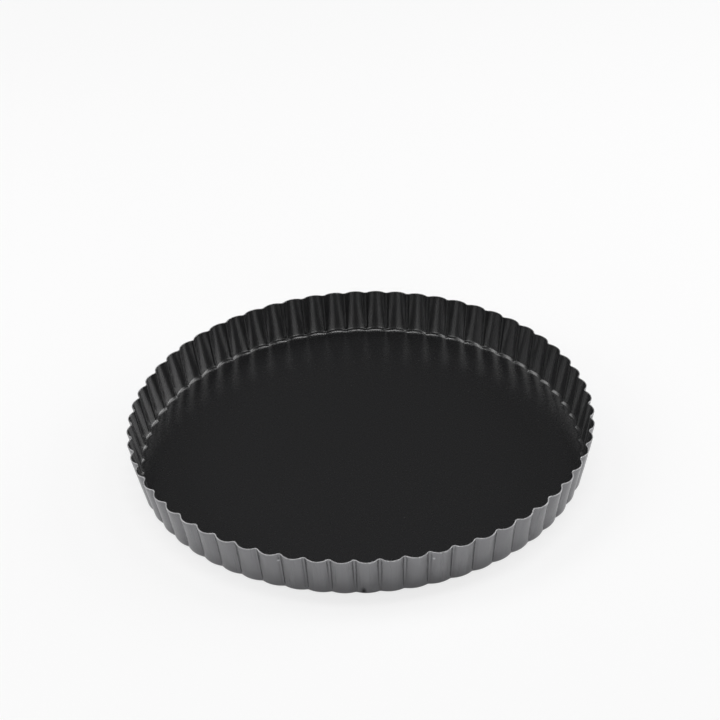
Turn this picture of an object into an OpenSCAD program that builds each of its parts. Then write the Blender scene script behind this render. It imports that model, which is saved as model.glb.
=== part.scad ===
// Fluted quiche pan, drawn from one round blank of coated steel sheet.
// Millimetres. The pan stands on z = 0 with its axis on Z, and a flute faces the front (-Y).

/* [Pan] */
// Outer diameter over the flutes at the rim
rim_d = 280; // [160:1:340]
// Height of the rim at the middle of a flute
pan_h = 27; // [15:0.1:60]
// How far the wall leans out between the floor line and the rim
wall_flare = 5.6; // [0:0.05:15]
// Thickness of the steel sheet
sheet_t = 0.6; // [0.3:0.05:1.5]
// Outer radius where the floor turns up into the wall
foot_r = 3.2; // [2:0.1:8]

/* [Flutes] */
// Number of flutes around the wall
flute_count = 62; // [36:2:80]
// Depth of the grooves between the flutes at the rim
rim_groove = 2.5; // [1:0.05:4]
// Depth of the grooves at the foot
foot_groove = 1.25; // [0.5:0.05:3]
// Radius of the bottom of each groove, on the outside of the sheet
groove_r = 1.8; // [0.4:0.05:2.5]
// How much higher the cut edge stands at a groove than on a flute
edge_lift = 0.4; // [0:0.05:1.5]

/* [Hidden] */

// Steps along half a flute's arc, along half a groove's arc and up the foot radius
flute_steps = 3;
groove_steps = 1;
foot_steps = 3;
// The inside form runs on past the cut edge by this much, to cut the pan open
cut_over = 1;

flute_angle = 360 / flute_count;
half_angle = flute_angle / 2;
// Lean of the wall from upright
wall_angle = atan2(wall_flare, pan_h);
// Distance from the axis to the centre of the foot radius, at the middle of a flute
foot_centre = rim_d / 2 - wall_flare - foot_r * tan((90 - wall_angle) / 2);

function unit(angle) = [cos(angle), sin(angle)];
function turned(p, angle) = [p.x * cos(angle) - p.y * sin(angle), p.x * sin(angle) + p.y * cos(angle)];

// Half of one flute, from its crest on +X to the bottom of the groove, half_angle further round. It is two arcs
// that touch: the flute bulges out to the radius crest, about a centre on X, and the groove lies depth inside
// that radius and is rounded to bend, about a centre on its own line. The first centre is where the two meet.
function half_flute(crest, depth, bend) =
    let (
        reach = crest - depth + bend,
        groove = reach * unit(half_angle),
        centre = ((crest + bend) ^ 2 - reach ^ 2) / (2 * (crest + bend - groove.x)),
        meet = atan2(groove.y, groove.x - centre)
    )
    concat(
        [for (i = [0 : flute_steps]) [centre, 0] + (crest - centre) * unit(meet * i / flute_steps)],
        [for (i = [1 : groove_steps]) groove - bend * unit(meet + (half_angle - meet) * i / groove_steps)]
    );

// One whole flute with the groove that follows it
function flute(crest, depth, bend) =
    let (half = half_flute(crest, depth, bend))
    concat([for (i = [len(half) - 2 : -1 : 1]) [half[i].x, -half[i].y]], half);

// A closed ring of flutes at height z, which rises by lift from the crests to the bottoms of the grooves
function ring(crest, depth, bend, z, lift = 0) =
    let (one = flute(crest, depth, bend))
    [
        for (k = [0 : flute_count - 1], p = one)
            let (q = turned(p, k * flute_angle - 90))
            [q.x, q.y, z + lift * (crest - norm(p)) / depth]
    ];

// The rings of the sheet's surface that lies inset below its outside, from the floor's edge up round the foot
// radius, and then straight to the rim and past it by over
function form_rings(inset, over) =
    let (
        wall_inset = inset / cos(wall_angle),
        foot = [
            for (i = [0 : foot_steps])
                let (tilt = 90 - (90 - wall_angle) * i / foot_steps)
                ring(
                    foot_centre + (foot_r - inset) * cos(tilt), foot_groove, groove_r + inset * cos(tilt),
                    foot_r - (foot_r - inset) * sin(tilt)
                )
        ],
        rim = ring(
            rim_d / 2 - wall_inset + over * tan(wall_angle), rim_groove, groove_r + wall_inset,
            pan_h + over, edge_lift
        )
    )
    concat(foot, [rim]);

// A solid with that surface, closed flat below and across the rim
module pressed_form(inset, over) {
    rings = form_rings(inset, over);
    count = len(rings[0]);
    last = (len(rings) - 1) * count;
    floor_centre = len(rings) * count;
    rim_centre = floor_centre + 1;
    sides = [
        for (r = [0 : len(rings) - 2], c = [0 : count - 1])
            let (a = r * count + c, b = r * count + (c + 1) % count)
            each [[a, a + count, b], [b, a + count, b + count]]
    ];
    bottom = [for (c = [0 : count - 1]) [floor_centre, c, (c + 1) % count]];
    top = [for (c = [0 : count - 1]) [rim_centre, last + (c + 1) % count, last + c]];
    centres = [[0, 0, rings[0][0].z], [0, 0, pan_h + over]];
    polyhedron(points = concat([for (level = rings) each level], centres), faces = concat(sides, bottom, top));
}

// The pan: its outside form, hollowed by the same form one sheet further in
module pan() {
    color("#3a3a3c")
        difference() {
            pressed_form(0, 0);
            pressed_form(sheet_t, cut_over);
        }
}

pan();
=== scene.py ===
"""Looks of a fluted quiche pan, drawn from one coated steel sheet, with its floor, light and camera."""

import logging
import math
from dataclasses import dataclass
from enum import IntEnum
from typing import Any

import bpy
import numpy as np
from mathutils import Matrix, Vector


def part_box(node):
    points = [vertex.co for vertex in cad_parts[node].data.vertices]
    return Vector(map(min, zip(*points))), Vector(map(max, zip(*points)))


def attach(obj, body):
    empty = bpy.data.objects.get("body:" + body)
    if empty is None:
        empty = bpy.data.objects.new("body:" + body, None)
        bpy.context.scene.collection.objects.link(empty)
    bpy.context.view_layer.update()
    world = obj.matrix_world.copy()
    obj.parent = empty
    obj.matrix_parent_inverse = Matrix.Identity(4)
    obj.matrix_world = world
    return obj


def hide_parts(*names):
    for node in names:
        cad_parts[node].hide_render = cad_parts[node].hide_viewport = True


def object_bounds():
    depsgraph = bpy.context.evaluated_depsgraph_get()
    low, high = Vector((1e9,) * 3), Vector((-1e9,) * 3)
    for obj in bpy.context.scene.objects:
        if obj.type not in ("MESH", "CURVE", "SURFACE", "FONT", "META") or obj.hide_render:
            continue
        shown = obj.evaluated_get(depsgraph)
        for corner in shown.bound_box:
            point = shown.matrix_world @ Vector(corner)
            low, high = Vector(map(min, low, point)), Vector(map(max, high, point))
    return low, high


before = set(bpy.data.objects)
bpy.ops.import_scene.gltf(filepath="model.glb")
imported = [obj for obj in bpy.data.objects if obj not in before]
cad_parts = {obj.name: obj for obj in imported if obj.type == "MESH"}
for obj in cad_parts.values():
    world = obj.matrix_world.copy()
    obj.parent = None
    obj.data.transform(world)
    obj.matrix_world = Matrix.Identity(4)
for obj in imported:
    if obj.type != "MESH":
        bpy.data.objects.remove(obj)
CAD_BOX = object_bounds()

Tree = bpy.types.NodeTree
Socket = bpy.types.NodeSocket

LOG = logging.getLogger("quiche_pan")
MM = 0.001
NODE = "pan"
BODY = "root"


class Side(IntEnum):
    """The parts of the sheet's surface, in the order of their materials on the mesh."""

    OUTSIDE = 0
    CUT_EDGE = 1
    INSIDE = 2


class MixInput(IntEnum):
    """Inputs of a Mix node by number, because several share a name."""

    SHARE = 0
    FIRST_NUMBER = 2
    SECOND_NUMBER = 3
    FIRST_COLOUR = 6
    SECOND_COLOUR = 7


class MixOutput(IntEnum):
    """Outputs of a Mix node by number, because all share a name."""

    NUMBER = 0
    COLOUR = 2


def to_linear(colour: str) -> tuple[float, float, float, float]:
    """Turns an sRGB colour into the linear one that a shader takes.

    Args:
        colour: The colour as "#rrggbb".

    Returns:
        Red, green, blue and an alpha of 1. A channel c is c / 12.92 up to 0.04045, and otherwise
        ((c + 0.055) / 1.055) to the power 2.4.
    """
    channels = np.array([int(colour[i : i + 2], 16) / 255 for i in (1, 3, 5)])
    linear = np.where(channels <= 0.04045, channels / 12.92, ((channels + 0.055) / 1.055) ** 2.4)
    return (*(float(c) for c in linear), 1.0)


def add_node(tree: Tree, kind: str, sockets: dict[Any, Any], **settings: Any) -> bpy.types.Node:
    """Adds a node with its settings, and fills or links its input sockets.

    Args:
        tree: The node tree that gets the node.
        kind: The node's type in Blender.
        sockets: For each input, by name or number, a value or the output that it is linked to.
        settings: The node's own properties.

    Returns:
        The new node.
    """
    node = tree.nodes.new(kind)
    for name, value in settings.items():
        setattr(node, name, value)
    for key, value in sockets.items():
        if isinstance(value, Socket):
            tree.links.new(value, node.inputs[key])
        else:
            node.inputs[key].default_value = value
    return node


@dataclass(frozen=True)
class PanSizes:
    """Sizes of the pan, in metres.

    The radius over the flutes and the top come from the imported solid, and the rest are the sizes
    that its source is drawn with, apart from the rounding of the cut edge's corners, which is only
    in this model.
    """

    rim_radius: float
    top: float
    flute_count: int = 62
    wall_flare: float = 5.6 * MM
    sheet: float = 0.6 * MM
    foot_radius: float = 3.2 * MM
    rim_groove: float = 2.5 * MM
    foot_groove: float = 1.25 * MM
    groove_bend: float = 1.8 * MM
    edge_lift: float = 0.4 * MM
    edge_round: float = 0.12 * MM

    @property
    def rim_height(self) -> float:
        """Height of the cut edge at the middle of a flute."""
        return self.top - self.edge_lift

    @property
    def lean(self) -> float:
        """Angle of the wall from upright, in radians."""
        return math.atan2(self.wall_flare, self.rim_height)

    @property
    def foot_centre(self) -> float:
        """Distance from the axis to the centre of the foot radius, at the middle of a flute."""
        foot_reach = self.foot_radius * math.tan((math.pi / 2 - self.lean) / 2)
        return self.rim_radius - self.wall_flare - foot_reach


@dataclass(frozen=True)
class GridSteps:
    """How finely the sheet's surface is divided.

    All but floor are numbers of steps. Floor holds the size of each of the floor's rings, as a share
    of the ring where the foot begins.
    """

    half_flute: int = 6
    half_groove: int = 4
    foot: int = 8
    wall: int = 8
    edge: int = 8
    floor: tuple[float, ...] = (0.3, 0.6, 0.85, 0.96, 0.995)


@dataclass(frozen=True)
class FlutedPan:
    """The whole pan as one closed surface: outside, cut edge and inside of one sheet."""

    sizes: PanSizes
    steps: GridSteps = GridSteps()

    def ring_points(self, rows: np.ndarray) -> np.ndarray:
        """Works out one closed ring of flutes for each row.

        Half a flute is two arcs that touch. The flute's arc bulges out to the crest radius about a
        centre on the flute's own line, and the groove's arc has the radius bend about a centre that
        lies reach = crest - depth + bend from the axis on the groove's line. The first centre is
        ((crest + bend)^2 - reach^2) / (2 (crest + bend - x of the groove's centre)). A point's
        height is z + lift (crest - its radius) / depth.

        Args:
            rows: For each row its crest, depth, bend, z and lift, in metres.

        Returns:
            The points as an array of rows, columns and x, y, z.
        """
        crest, depth, bend, z, lift = (column[:, None] for column in rows.T)
        half_angle = math.pi / self.sizes.flute_count
        count = self.steps.half_flute + self.steps.half_groove
        along = np.arange(-count + 1, count + 1)[None, :]
        side, step = np.sign(along), np.abs(along)
        reach = crest - depth + bend
        groove_x, groove_y = reach * math.cos(half_angle), reach * math.sin(half_angle)
        centre = ((crest + bend) ** 2 - reach**2) / (2 * (crest + bend - groove_x))
        bulge = crest - centre
        meet = np.arctan2(groove_y, groove_x - centre)
        past = np.clip((step - self.steps.half_flute) / self.steps.half_groove, 0, 1)
        angle = meet * np.minimum(step / self.steps.half_flute, 1) + (half_angle - meet) * past
        on_flute = step <= self.steps.half_flute
        x = np.where(on_flute, centre + bulge * np.cos(angle), groove_x - bend * np.cos(angle))
        y = side * np.where(on_flute, bulge * np.sin(angle), groove_y - bend * np.sin(angle))
        turn = 2 * half_angle * np.arange(self.sizes.flute_count)[:, None] - math.pi / 2
        shape = (len(rows), -1)
        ring_x = (x[:, None] * np.cos(turn) - y[:, None] * np.sin(turn)).reshape(shape)
        ring_y = (x[:, None] * np.sin(turn) + y[:, None] * np.cos(turn)).reshape(shape)
        ring_z = z + lift * (crest - np.hypot(ring_x, ring_y)) / depth
        return np.stack([ring_x, ring_y, ring_z], axis=-1)

    def wall_end(self, inset: float) -> np.ndarray:
        """Works out where one surface of the wall, carried on upwards, reaches the height of the rim.

        Args:
            inset: Depth of the surface below the outside, in metres, measured across the wall.

        Returns:
            Its crest, depth, bend, z and lift there.
        """
        s = self.sizes
        level_inset = inset / math.cos(s.lean)
        crest, bend = s.rim_radius - level_inset, s.groove_bend + level_inset
        return np.array([crest, s.rim_groove, bend, s.rim_height, s.edge_lift])

    def side_rows(self, inset: float) -> np.ndarray:
        """Works out the rows of one side of the sheet, from its middle to just below the cut edge.

        The floor's rings are the foot's first ring made smaller. Round the foot radius a row's crest
        is foot centre + r cos(tilt) and its height foot radius - r sin(tilt), with r = foot radius -
        inset and tilt from a right angle to the wall's lean. The wall runs straight from there.

        Args:
            inset: Depth of the surface below the outside of the sheet, in metres.

        Returns:
            One line of crest, depth, bend, z and lift for each row.
        """
        s = self.sizes
        tilt = np.linspace(math.pi / 2, s.lean, self.steps.foot + 1)
        radius = s.foot_radius - inset
        foot = np.stack(
            [
                s.foot_centre + radius * np.cos(tilt),
                np.full_like(tilt, s.foot_groove),
                s.groove_bend + inset * np.cos(tilt),
                s.foot_radius - radius * np.sin(tilt),
                np.zeros_like(tilt),
            ],
            axis=1,
        )
        floor = np.array(self.steps.floor)[:, None] * foot[0]
        floor[:, 3] = inset
        share = np.linspace(0, 1, self.steps.wall + 1)[1:, None]
        drop = s.edge_round + (s.sheet - inset) * math.sin(s.lean)
        end = self.wall_end(inset) - np.array([0, 0, 0, drop, 0])
        return np.concatenate([floor, foot, foot[-1] + share * (end - foot[-1])])

    def edge_rows(self) -> np.ndarray:
        """Works out the rows across the cut edge, which is square to the wall and has soft corners.

        With a from 0 to pi across the sheet, the inset is half the sheet times (1 - c), where c is
        cos(a) to the power 1/2 with its sign kept. The height is that of the rim, less the rounding
        times (1 - sin(a) to the power 1/2), less what the outer side stands lower than the inner one.

        Returns:
            One line of crest, depth, bend, z and lift for each row.
        """
        s = self.sizes
        a = np.linspace(0, math.pi, self.steps.edge + 1)[1:-1]
        across = s.sheet / 2 * (1 - np.sign(np.cos(a)) * np.sqrt(np.abs(np.cos(a))))
        drop = s.edge_round * (1 - np.sqrt(np.sin(a))) + (s.sheet - across) * math.sin(s.lean)
        rows = np.array([self.wall_end(inset) for inset in across])
        rows[:, 3] -= drop
        return rows

    def closed_mesh(self, points: np.ndarray) -> bpy.types.Mesh:
        """Joins the rings with quads, and closes the first and the last one with a fan of triangles.

        Args:
            points: The rings as rows, columns and x, y, z, from the underside round to the floor.

        Returns:
            The mesh. Its faces are the quads from ring to ring, the fan below and the fan above.
        """
        row_count, column_count = points.shape[:2]
        index = np.arange(row_count * column_count).reshape(row_count, column_count)
        turned = np.roll(index, -1, axis=1)
        quads = np.stack([index[:-1], turned[:-1], turned[1:], index[1:]], axis=-1).reshape(-1, 4)
        below, above = (np.full(column_count, index.size + pole) for pole in (0, 1))
        under = np.stack([below, turned[0], index[0]], axis=-1)
        over = np.stack([above, index[-1], turned[-1]], axis=-1)
        poles = [[0, 0, 0], [0, 0, self.sizes.sheet]]
        vertices = np.concatenate([points.reshape(-1, 3), poles])
        mesh = bpy.data.meshes.new("fluted_pan")
        mesh.from_pydata(vertices.tolist(), [], quads.tolist() + under.tolist() + over.tolist())
        return mesh

    def build(self, finishes: dict[Side, bpy.types.Material]) -> bpy.types.Object:
        """Makes the pan's mesh and gives each side of the sheet its material.

        Args:
            finishes: The material of each side.

        Returns:
            The pan, at the origin, with its place in its mesh.
        """
        outside, edge, inside = self.side_rows(0), self.edge_rows(), self.side_rows(self.sizes.sheet)
        points = self.ring_points(np.concatenate([outside, edge, inside[::-1]]))
        mesh = self.closed_mesh(points)
        strips = {
            Side.OUTSIDE: len(outside) - 1,
            Side.CUT_EDGE: len(edge) + 1,
            Side.INSIDE: len(inside) - 1,
        }
        sides = [side for side, count in strips.items() for _ in range(count)]
        fans = [Side.OUTSIDE, Side.INSIDE]
        material_index = np.repeat(np.array(sides + fans, dtype=np.int32), points.shape[1])
        mesh.polygons.foreach_set("material_index", material_index)
        for side in Side:
            mesh.materials.append(finishes[side])
        mesh.shade_smooth()
        mesh.validate()
        pan = bpy.data.objects.new("fluted_pan", mesh)
        bpy.context.scene.collection.objects.link(pan)
        return pan


@dataclass(frozen=True)
class Blemish:
    """A small soft mark on the outside of the wall.

    Its place is a number of flutes to the right of the front one's crest, and a height. Its reach is
    measured across, and it is tall times as high.
    """

    flutes: float
    height_mm: float
    reach_mm: float
    colour: str
    tall: float = 1.0


@dataclass(frozen=True)
class SheetFinish:
    """What all finishes of the sheet share: a body colour, a gloss, a fine mottle and a fine relief.

    The marks go from the deep colour and a rougher gloss at 0 to the colour and a smoother gloss at
    1. A detail is the number of finer layers that a noise has.
    """

    name: str
    colour: str
    deep_colour: str
    metallic: float
    ior: float
    roughness: float
    rough_spread: float
    mottle_mm: float
    relief_mm: float
    relief_depth_mm: float
    mottle_detail: float = 2.0
    relief_detail: float = 3.0

    def marks(self, tree: Tree, place: Socket) -> Socket:
        """The pattern of the finish, from 0 to 1: a soft mottle of the given size."""
        mottle = {"Vector": place, "Scale": 1 / (self.mottle_mm * MM), "Detail": self.mottle_detail}
        return add_node(tree, "ShaderNodeTexNoise", mottle).outputs["Fac"]

    def relief(self, tree: Tree, place: Socket) -> Socket:
        """Adds the height of the surface: a fine orange peel.

        Args:
            tree: The material's nodes.
            place: The point on the object.

        Returns:
            The height in millimetres.
        """
        peel = {"Vector": place, "Scale": 1 / (self.relief_mm * MM), "Detail": self.relief_detail}
        bumps = add_node(tree, "ShaderNodeTexNoise", peel).outputs["Fac"]
        height = {0: bumps, 1: self.relief_depth_mm}
        return add_node(tree, "ShaderNodeMath", height, operation="MULTIPLY").outputs[0]

    def paint(self, tree: Tree, place: Socket, marks: Socket) -> Socket:
        """Adds the colour of the surface.

        Args:
            tree: The material's nodes.
            place: The point on the object, which only a finish with blemishes needs.
            marks: The pattern of the finish.

        Returns:
            The deep colour where the marks are 0, and the colour where they are 1.
        """
        colours = {
            MixInput.SHARE: marks,
            MixInput.FIRST_COLOUR: to_linear(self.deep_colour),
            MixInput.SECOND_COLOUR: to_linear(self.colour),
        }
        return add_node(tree, "ShaderNodeMix", colours, data_type="RGBA").outputs[MixOutput.COLOUR]

    def material(self) -> bpy.types.Material:
        """Makes the material: colour and roughness follow the marks, and the bump is the relief.

        Returns:
            The material, named for the finish.
        """
        material = bpy.data.materials.new(self.name)
        material.use_nodes = True
        tree = material.node_tree
        shader = tree.nodes["Principled BSDF"]
        place = add_node(tree, "ShaderNodeTexCoord", {}).outputs["Object"]
        marks = self.marks(tree, place)
        roughest, smoothest = self.roughness + self.rough_spread, self.roughness - self.rough_spread
        gloss = {"Value": marks, "To Min": roughest, "To Max": smoothest}
        rough = add_node(tree, "ShaderNodeMapRange", gloss)
        raised = {"Height": self.relief(tree, place), "Strength": 1.0, "Distance": MM}
        bump = add_node(tree, "ShaderNodeBump", raised)
        tree.links.new(self.paint(tree, place, marks), shader.inputs["Base Color"])
        tree.links.new(rough.outputs["Result"], shader.inputs["Roughness"])
        tree.links.new(bump.outputs["Normal"], shader.inputs["Normal"])
        shader.inputs["Metallic"].default_value = self.metallic
        shader.inputs["IOR"].default_value = self.ior
        return material


@dataclass(frozen=True)
class DrawnFinish(SheetFinish):
    """A finish that was on the sheet when it was drawn, so faint ridges and lines run up the wall.

    The crease is the tight fold at the bottom of each groove. It is raised on the side that it
    bulges to, and sunk on the other.
    """

    crease_depth_mm: float = 0.0
    crease_width_mm: float = 3.2
    ridge_mm: float = 2.0
    line_mm: float = 1.0
    line_length_mm: float = 40.0
    line_detail: float = 2.0
    ridge_depth_mm: float = 0.02
    wall_from_mm: float = 1.0
    wall_to_mm: float = 4.0
    blemishes: tuple[Blemish, ...] = ()

    @property
    def flute_width(self) -> float:
        """Width of a flute with its groove, round the rim, in metres."""
        return 2 * math.pi * CAD_BOX[1].y / PanSizes.flute_count

    def on_wall(self, tree: Tree, place: Socket) -> Socket:
        """Adds a share that keeps the floor, which stays as it was rolled, apart from the wall.

        Args:
            tree: The material's nodes.
            place: The point on the object.

        Returns:
            0 on the floor, and 1 up the wall, which was drawn.
        """
        height = add_node(tree, "ShaderNodeSeparateXYZ", {0: place}).outputs["Z"]
        reach = {"Value": height, "From Min": self.wall_from_mm * MM, "From Max": self.wall_to_mm * MM}
        share = add_node(tree, "ShaderNodeMapRange", reach, interpolation_type="SMOOTHSTEP")
        return share.outputs["Result"]

    def lines(self, tree: Tree, place: Socket, width_mm: float) -> Socket:
        """Adds lines up the wall: a noise on the direction from the axis, and slowly on the height.

        Args:
            tree: The material's nodes.
            place: The point on the object.
            width_mm: How wide a line is.

        Returns:
            The pattern, from 0 to 1.
        """
        level = add_node(tree, "ShaderNodeVectorMath", {0: place, 1: (1, 1, 0)}, operation="MULTIPLY")
        heading = add_node(tree, "ShaderNodeVectorMath", {0: level.outputs[0]}, operation="NORMALIZE")
        fast = {0: heading.outputs[0], "Scale": CAD_BOX[1].y / (width_mm * MM)}
        around = add_node(tree, "ShaderNodeVectorMath", fast, operation="SCALE")
        slow = {0: place, 1: (0, 0, 1 / (self.line_length_mm * MM))}
        rise = add_node(tree, "ShaderNodeVectorMath", slow, operation="MULTIPLY")
        both = {0: around.outputs[0], 1: rise.outputs[0]}
        where = add_node(tree, "ShaderNodeVectorMath", both, operation="ADD")
        drawn = {"Vector": where.outputs[0], "Scale": 1.0, "Detail": self.line_detail}
        return add_node(tree, "ShaderNodeTexNoise", drawn).outputs["Fac"]

    def marks(self, tree: Tree, place: Socket) -> Socket:
        """Adds the pattern of the finish: a soft mottle on the floor, and fine lines up the wall.

        Args:
            tree: The material's nodes.
            place: The point on the object.

        Returns:
            The pattern, from 0 to 1.
        """
        patterns = {
            MixInput.SHARE: self.on_wall(tree, place),
            MixInput.FIRST_NUMBER: super().marks(tree, place),
            MixInput.SECOND_NUMBER: self.lines(tree, place, self.line_mm),
        }
        return add_node(tree, "ShaderNodeMix", patterns).outputs[MixOutput.NUMBER]

    def turn_from(self, tree: Tree, place: Socket, start: float) -> Socket:
        """Adds the turn about the axis, in flutes from the start.

        It is the angle of x and y over the angle of one flute, plus a quarter of all flutes, which
        makes it 0 at the front, less the start.

        Args:
            tree: The material's nodes.
            place: The point on the object.
            start: Where the turn is 0, in flutes to the right of the front one's crest.

        Returns:
            The turn, in flutes.
        """
        parts = add_node(tree, "ShaderNodeSeparateXYZ", {0: place}).outputs
        corner = {0: parts["Y"], 1: parts["X"]}
        angle = add_node(tree, "ShaderNodeMath", corner, operation="ARCTAN2").outputs[0]
        flutes = PanSizes.flute_count
        in_flutes = {0: angle, 1: flutes / (2 * math.pi), 2: flutes / 4 - start}
        return add_node(tree, "ShaderNodeMath", in_flutes, operation="MULTIPLY_ADD").outputs[0]

    def cover(self, tree: Tree, place: Socket, blemish: Blemish) -> Socket:
        """Adds how much of the surface a blemish covers, by the distance round and up to its middle.

        Args:
            tree: The material's nodes.
            place: The point on the object.
            blemish: The mark.

        Returns:
            1 at the mark's middle, and 0 from its reach on.
        """
        sideways = {0: self.turn_from(tree, place, blemish.flutes), 1: self.flute_width}
        across = add_node(tree, "ShaderNodeMath", sideways, operation="MULTIPLY").outputs[0]
        height = add_node(tree, "ShaderNodeSeparateXYZ", {0: place}).outputs["Z"]
        upwards = {0: height, 1: 1 / blemish.tall, 2: -blemish.height_mm * MM / blemish.tall}
        up = add_node(tree, "ShaderNodeMath", upwards, operation="MULTIPLY_ADD").outputs[0]
        spot = add_node(tree, "ShaderNodeCombineXYZ", {"X": across, "Z": up}).outputs[0]
        apart = add_node(tree, "ShaderNodeVectorMath", {0: spot}, operation="LENGTH").outputs["Value"]
        edge = blemish.reach_mm * MM
        reach = {"Value": apart, "From Min": 0.0, "From Max": edge, "To Min": 1.0, "To Max": 0.0}
        cover = add_node(tree, "ShaderNodeMapRange", reach, interpolation_type="SMOOTHSTEP")
        return cover.outputs["Result"]

    def paint(self, tree: Tree, place: Socket, marks: Socket) -> Socket:
        """Adds the colour of the surface, with each blemish laid over it.

        Args:
            tree: The material's nodes.
            place: The point on the object.
            marks: The pattern of the finish.

        Returns:
            The colour.
        """
        colour = super().paint(tree, place, marks)
        for blemish in self.blemishes:
            layers = {
                MixInput.SHARE: self.cover(tree, place, blemish),
                MixInput.FIRST_COLOUR: colour,
                MixInput.SECOND_COLOUR: to_linear(blemish.colour),
            }
            mixed = add_node(tree, "ShaderNodeMix", layers, data_type="RGBA")
            colour = mixed.outputs[MixOutput.COLOUR]
        return colour

    def crease(self, tree: Tree, place: Socket) -> Socket:
        """Adds how far a point lies in the tight fold at the bottom of a groove.

        The turn from a groove is a whole number of flutes at each groove. The distance to the
        nearest one is compared with half the width of the fold, in flutes at the rim.

        Args:
            tree: The material's nodes.
            place: The point on the object.

        Returns:
            0 beside the fold, and 1 at its bottom.
        """
        half_flute = 0.5
        from_groove = {0: self.turn_from(tree, place, half_flute), 1: half_flute}
        apart = add_node(tree, "ShaderNodeMath", from_groove, operation="PINGPONG").outputs[0]
        edge = self.crease_width_mm * MM / 2 / self.flute_width
        reach = {"Value": apart, "From Min": 0.0, "From Max": edge, "To Min": 1.0, "To Max": 0.0}
        fold = add_node(tree, "ShaderNodeMapRange", reach, interpolation_type="SMOOTHSTEP")
        return fold.outputs["Result"]

    def relief(self, tree: Tree, place: Socket) -> Socket:
        """Adds the height of the surface: the orange peel, with ridges and folds up the wall.

        Args:
            tree: The material's nodes.
            place: The point on the object.

        Returns:
            The height in millimetres.
        """
        ridged = {0: self.lines(tree, place, self.ridge_mm), 1: self.ridge_depth_mm}
        ridges = add_node(tree, "ShaderNodeMath", ridged, operation="MULTIPLY").outputs[0]
        folded = {0: self.crease(tree, place), 1: self.crease_depth_mm, 2: ridges}
        drawn = add_node(tree, "ShaderNodeMath", folded, operation="MULTIPLY_ADD").outputs[0]
        raised = {0: drawn, 1: self.on_wall(tree, place), 2: super().relief(tree, place)}
        return add_node(tree, "ShaderNodeMath", raised, operation="MULTIPLY_ADD").outputs[0]


# A soft dark spot low on the front flute, a chip near the rim with a dark pit above it, and another chip
FRONT_BLEMISHES = (
    Blemish(flutes=-0.18, height_mm=2.8, reach_mm=2.4, colour="#1a1a1b", tall=2.0),
    Blemish(flutes=-3.57, height_mm=22.2, reach_mm=1.0, colour="#c8c8ca"),
    Blemish(flutes=-3.54, height_mm=24.0, reach_mm=0.9, colour="#2c2c2d"),
    Blemish(flutes=2.66, height_mm=22.3, reach_mm=1.1, colour="#c0c0c2"),
)
# Silicone polyester lacquer with a metal pigment, rolled on before the sheet was drawn: satin mid
# grey. The pigment's flakes are too fine to show, so a coarser mottle stands for them.
OUTSIDE_LACQUER = DrawnFinish(
    name="grey_lacquer",
    colour="#868688",
    deep_colour="#767678",
    metallic=0.75,
    ior=1.5,
    roughness=0.26,
    rough_spread=0.04,
    mottle_mm=3.0,
    relief_mm=1.4,
    relief_depth_mm=0.030,
    crease_depth_mm=-0.4,
    blemishes=FRONT_BLEMISHES,
)
# Non-stick coating on PTFE base, rolled on and baked: near black with a soft satin gloss
INSIDE_COATING = DrawnFinish(
    name="nonstick_coating",
    colour="#1f1f20",
    deep_colour="#19191a",
    metallic=0.0,
    ior=1.65,
    roughness=0.27,
    rough_spread=0.03,
    mottle_mm=3.0,
    relief_mm=0.8,
    relief_depth_mm=0.0015,
    crease_depth_mm=0.4,
)
# Bare steel where the sheet was sheared: light and fine grained, though its grain is drawn coarser
# than the real one, which is too fine to show
CUT_STEEL = SheetFinish(
    name="sheared_steel",
    colour="#acacad",
    deep_colour="#909091",
    metallic=1.0,
    ior=1.5,
    roughness=0.42,
    rough_spread=0.08,
    mottle_mm=0.6,
    relief_mm=0.3,
    relief_depth_mm=0.01,
)


@dataclass(frozen=True)
class PhotoCamera:
    """The photo's camera, as found from the pan's outline. Lengths in metres, angles in degrees."""

    image_pixels: float = 720.0
    focal_pixels: float = 1998.3
    sensor_mm: float = 36.0
    distance: float = 1.1993
    elevation: float = 35.34
    roll: float = 2.642
    pan: float = -0.067
    tilt: float = 1.547

    def build(self, target: Vector) -> bpy.types.Object:
        """Makes the scene's camera.

        The camera stands in front of the target and above it, at the distance and elevation, and
        faces it. Its axes are then turned by pan, tilt and roll.

        Args:
            target: The point that the angles are taken from, the middle of the rim.

        Returns:
            The camera.
        """
        e = math.radians(self.elevation)
        facing = Matrix(((1, 0, 0), (0, math.sin(e), math.cos(e)), (0, math.cos(e), -math.sin(e))))
        turn = (
            Matrix.Rotation(math.radians(self.roll), 3, "Z")
            @ Matrix.Rotation(math.radians(self.tilt), 3, "X")
            @ Matrix.Rotation(math.radians(self.pan), 3, "Y")
        )
        right, up, forward = turn @ facing
        data = bpy.data.cameras.new("photo_camera")
        data.sensor_width = self.sensor_mm
        data.lens = self.sensor_mm * self.focal_pixels / self.image_pixels
        camera = bpy.data.objects.new("photo_camera", data)
        stand = target + Vector((0, -self.distance * math.cos(e), self.distance * math.sin(e)))
        axes = Matrix((right, up, -forward)).transposed().to_4x4()
        camera.matrix_world = Matrix.Translation(stand) @ axes
        bpy.context.scene.collection.objects.link(camera)
        bpy.context.scene.camera = camera
        return camera


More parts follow.
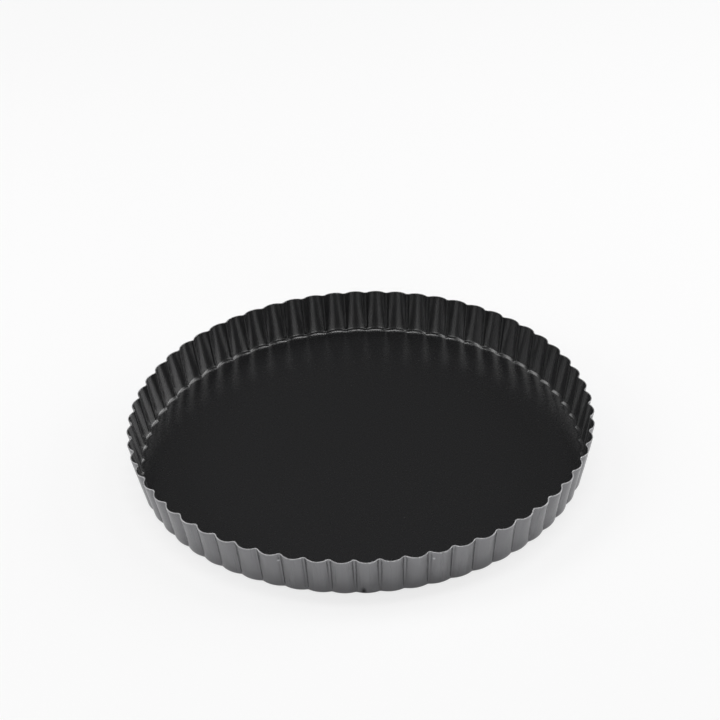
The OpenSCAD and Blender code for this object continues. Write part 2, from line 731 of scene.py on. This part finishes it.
@dataclass(frozen=True)
class Softbox:
    """A soft lamp that faces the pan, which it lights but the camera doesn't see.

    Azimuth and elevation are the lamp's direction from the pan, in degrees, with 0 at the right and
    -90 at the front. Width, height and distance are in metres. Its level is the brightness of its
    front, where 1 is white.
    """

    name: str
    azimuth: float
    elevation: float
    width: float
    height: float
    level: float
    distance: float = 1.6

    def build(self, target: Vector) -> bpy.types.Object:
        """Makes the lamp. Its power is the level times pi times its area.

        Args:
            target: The point that it faces.

        Returns:
            The lamp.
        """
        data = bpy.data.lights.new(self.name, "AREA")
        data.shape = "RECTANGLE"
        data.size, data.size_y = self.width, self.height
        data.energy = self.level * math.pi * self.width * self.height
        lamp = bpy.data.objects.new(self.name, data)
        turn, rise = math.radians(self.azimuth), math.radians(self.elevation)
        outwards = math.cos(rise)
        away = Vector((outwards * math.cos(turn), outwards * math.sin(turn), math.sin(rise)))
        lamp.location = target + self.distance * away
        lamp.rotation_euler = away.to_track_quat("Z", "Y").to_euler()
        lamp.visible_camera = False
        bpy.context.scene.collection.objects.link(lamp)
        return lamp


@dataclass(frozen=True)
class Studio:
    """The plain pale floor with a low pale backdrop far off, the dim room and the soft lamps.

    Lengths are in metres. The lit reach is where the light on the paper begins to run out, and
    where it has.
    """

    pale: str = "#f9f9f9"
    floor_radius: float = 11.0
    floor_sides: int = 96
    backdrop_height: float = 2.2
    floor_gap: float = 0.02 * MM
    shadow_share: float = 0.2
    reflected_share: float = 0.9
    lit_reach: tuple[float, float] = (0.4, 1.1)
    room_light: float = 0.04
    softboxes: tuple[Softbox, ...] = (
        Softbox("right_softbox", azimuth=18.0, elevation=17.0, width=1.30, height=0.90, level=5.0),
        Softbox("left_softbox", azimuth=182.0, elevation=30.0, width=1.20, height=0.60, level=4.4),
        Softbox("back_right_softbox", azimuth=34.0, elevation=50.0, width=0.90, height=0.50, level=3.7),
        Softbox("back_left_softbox", azimuth=146.0, elevation=50.0, width=0.90, height=0.50, level=4.4),
        Softbox("front_right_softbox", azimuth=300.0, elevation=10.0, width=0.70, height=0.50, level=4.2),
        Softbox("front_left_softbox", azimuth=238.0, elevation=10.0, width=0.70, height=0.50, level=3.5),
        Softbox("top_softbox", azimuth=90.0, elevation=88.0, width=0.90, height=0.30, level=10.5),
    )

    def lit_share(self, tree: Tree, camera: Socket) -> Socket:
        """Adds how much of the paper's look comes from its light, and not from its plain colour.

        The shadow share is what the camera sees of it, and the reflected share is what reflections
        see. Both run out with the distance from the pan, where no lamp reaches.

        Args:
            tree: The paper's nodes.
            camera: 1 for what the camera sees, and 0 for what reflections see.

        Returns:
            The share of the lit paper.
        """
        shares = {
            MixInput.SHARE: camera,
            MixInput.FIRST_NUMBER: self.reflected_share,
            MixInput.SECOND_NUMBER: self.shadow_share,
        }
        most = add_node(tree, "ShaderNodeMix", shares).outputs[MixOutput.NUMBER]
        place = add_node(tree, "ShaderNodeTexCoord", {}).outputs["Object"]
        away = add_node(tree, "ShaderNodeVectorMath", {0: place}, operation="LENGTH").outputs["Value"]
        near, far = self.lit_reach
        reach = {"Value": away, "From Min": near, "From Max": far, "To Min": most, "To Max": 0.0}
        share = add_node(tree, "ShaderNodeMapRange", reach, interpolation_type="SMOOTHSTEP")
        return share.outputs["Result"]

    def paper(self) -> bpy.types.Material:
        """Makes matt pale paper, which the camera sees mostly in its plain colour, with a faint shadow.

        Returns:
            The paper, a matt surface for light that bounces, and for the camera and for reflections
            a mix of that surface and the plain colour.
        """
        material = bpy.data.materials.new("pale_paper")
        material.use_nodes = True
        tree = material.node_tree
        tree.nodes.clear()
        matt = add_node(tree, "ShaderNodeBsdfDiffuse", {"Color": to_linear(self.pale)}).outputs[0]
        glow = {"Color": to_linear(self.pale), "Strength": 1.0}
        plain = add_node(tree, "ShaderNodeEmission", glow).outputs[0]
        path = add_node(tree, "ShaderNodeLightPath", {}).outputs
        camera = path["Is Camera Ray"]
        reflected = {0: path["Is Glossy Ray"], 1: path["Is Transmission Ray"]}
        indirect = add_node(tree, "ShaderNodeMath", reflected, operation="MAXIMUM").outputs[0]
        seen = add_node(tree, "ShaderNodeMath", {0: camera, 1: indirect}, operation="MAXIMUM").outputs[0]
        looks = {0: self.lit_share(tree, camera), 1: plain, 2: matt}
        shown = add_node(tree, "ShaderNodeMixShader", looks).outputs[0]
        paper = add_node(tree, "ShaderNodeMixShader", {0: seen, 1: matt, 2: shown}).outputs[0]
        add_node(tree, "ShaderNodeOutputMaterial", {"Surface": paper})
        return material

    def build_floor(self) -> bpy.types.Object:
        """Makes the floor, a wide flat disc just under the pan, with a backdrop round its edge.

        Returns:
            The floor.
        """
        count = self.floor_sides
        turn = 2 * math.pi * np.arange(count) / count
        x, y = self.floor_radius * np.cos(turn), self.floor_radius * np.sin(turn)
        rim = np.stack([x, y, np.full(count, -self.floor_gap)], axis=1)
        top = rim + np.array([0, 0, self.backdrop_height])
        index = np.arange(count)
        following = np.roll(index, -1)
        wall = np.stack([index, index + count, following + count, following], axis=1)
        mesh = bpy.data.meshes.new("floor")
        mesh.from_pydata(np.concatenate([rim, top]).tolist(), [], [index.tolist(), *wall.tolist()])
        mesh.materials.append(self.paper())
        floor = bpy.data.objects.new("floor", mesh)
        bpy.context.scene.collection.objects.link(floor)
        return floor

    def build_room(self) -> None:
        """Sets the dim white light that comes evenly from the room."""
        world = bpy.data.worlds.new("studio")
        world.use_nodes = True
        bpy.context.scene.world = world
        background = world.node_tree.nodes["Background"]
        background.inputs["Color"].default_value = (1, 1, 1, 1)
        background.inputs["Strength"].default_value = self.room_light

    def build(self, target: Vector) -> None:
        """Makes the floor, the room and the lamps.

        Args:
            target: The point that the lamps face.
        """
        self.build_floor()
        self.build_room()
        for softbox in self.softboxes:
            softbox.build(target)
            LOG.info("lamp %s", softbox.name)


def main() -> None:
    """Builds the camera, the studio and the pan."""
    logging.basicConfig(level=logging.INFO, format="%(name)s: %(message)s")
    bpy.context.scene.view_settings.view_transform = "Standard"
    _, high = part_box(NODE)
    sizes = PanSizes(rim_radius=high.y, top=high.z)
    middle_of_rim = Vector((0, 0, sizes.rim_height))
    PhotoCamera().build(middle_of_rim)
    Studio().build(middle_of_rim)

    finishes = {
        Side.OUTSIDE: OUTSIDE_LACQUER.material(),
        Side.CUT_EDGE: CUT_STEEL.material(),
        Side.INSIDE: INSIDE_COATING.material(),
    }
    pan = FlutedPan(sizes).build(finishes)
    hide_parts(NODE)
    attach(pan, BODY)
    LOG.info("piece %s: %d faces", pan.name, len(pan.data.polygons))


if __name__ == "__main__":
    main()
